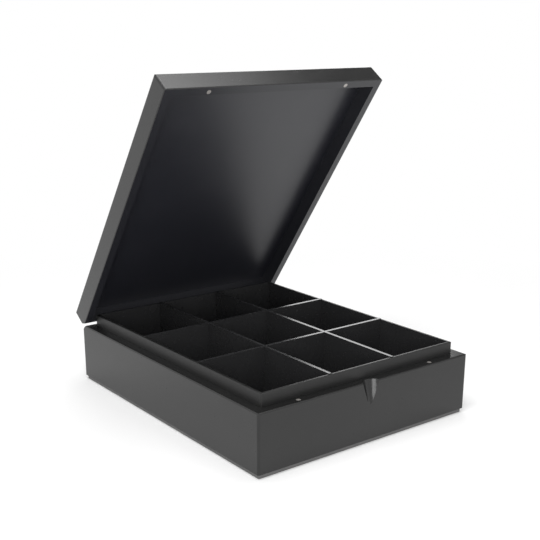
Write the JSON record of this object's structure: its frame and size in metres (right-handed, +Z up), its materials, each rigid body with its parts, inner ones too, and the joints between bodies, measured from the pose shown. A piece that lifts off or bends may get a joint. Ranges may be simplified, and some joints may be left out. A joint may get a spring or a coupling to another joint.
{
  "type": "tea bag organizer box",
  "caption": "Lacquered wooden box with a hinged lid held by magnets and compartments for upright tea bag envelopes.",
  "frame": {"origin": "middle of the box's underside, on the surface that it stands on", "axes": "+Z up, +X to the right seen from the front, +Y from the front with the thumb scoop to the back with the hinges"},
  "size_m": [0.23, 0.2967, 0.2943],
  "materials": {
    "outer_lacquer": "black lacquer, satin gloss",
    "inner_lacquer": "black lacquer, satin",
    "board_stain": "dark grey stain, matt",
    "nickel_plate": "nickel plated",
    "hinge_steel": "nickel plated, satin"
  },
  "bodies": {
    "base": {"base_front_wall": "outer_lacquer", "base_back_wall": "outer_lacquer", "base_left_wall": "outer_lacquer", "base_right_wall": "outer_lacquer", "bottom_board": "board_stain", "liner_front": "inner_lacquer", "liner_back": "inner_lacquer", "liner_left": "inner_lacquer", "liner_right": "inner_lacquer", "long_divider_left": "inner_lacquer", "long_divider_right": "inner_lacquer", "cross_divider_front": "inner_lacquer", "cross_divider_back": "inner_lacquer", "base_magnet_left": "nickel_plate", "base_magnet_right": "nickel_plate", "hinge_base_leaf_left": "hinge_steel", "hinge_base_leaf_right": "hinge_steel", "hinge_pin_left": "hinge_steel", "hinge_pin_right": "hinge_steel", "base_hinge_screws": "hinge_steel"},
    "lid": {"lid_front_rail": "outer_lacquer", "lid_back_rail": "outer_lacquer", "lid_left_rail": "outer_lacquer", "lid_right_rail": "outer_lacquer", "lid_panel": "outer_lacquer", "lid_magnet_left": "nickel_plate", "lid_magnet_right": "nickel_plate", "hinge_lid_leaf_left": "hinge_steel", "hinge_lid_leaf_right": "hinge_steel", "lid_hinge_screws": "hinge_steel"}
  },
  "joints": [
    {"name": "lid_hinge", "type": "hinge", "parent": "base", "child": "lid", "pos_m": [0, 0.1383, 0.05515], "axis": [-1, 0, 0], "range_deg": [-54.8, 63.2]}
  ]
}
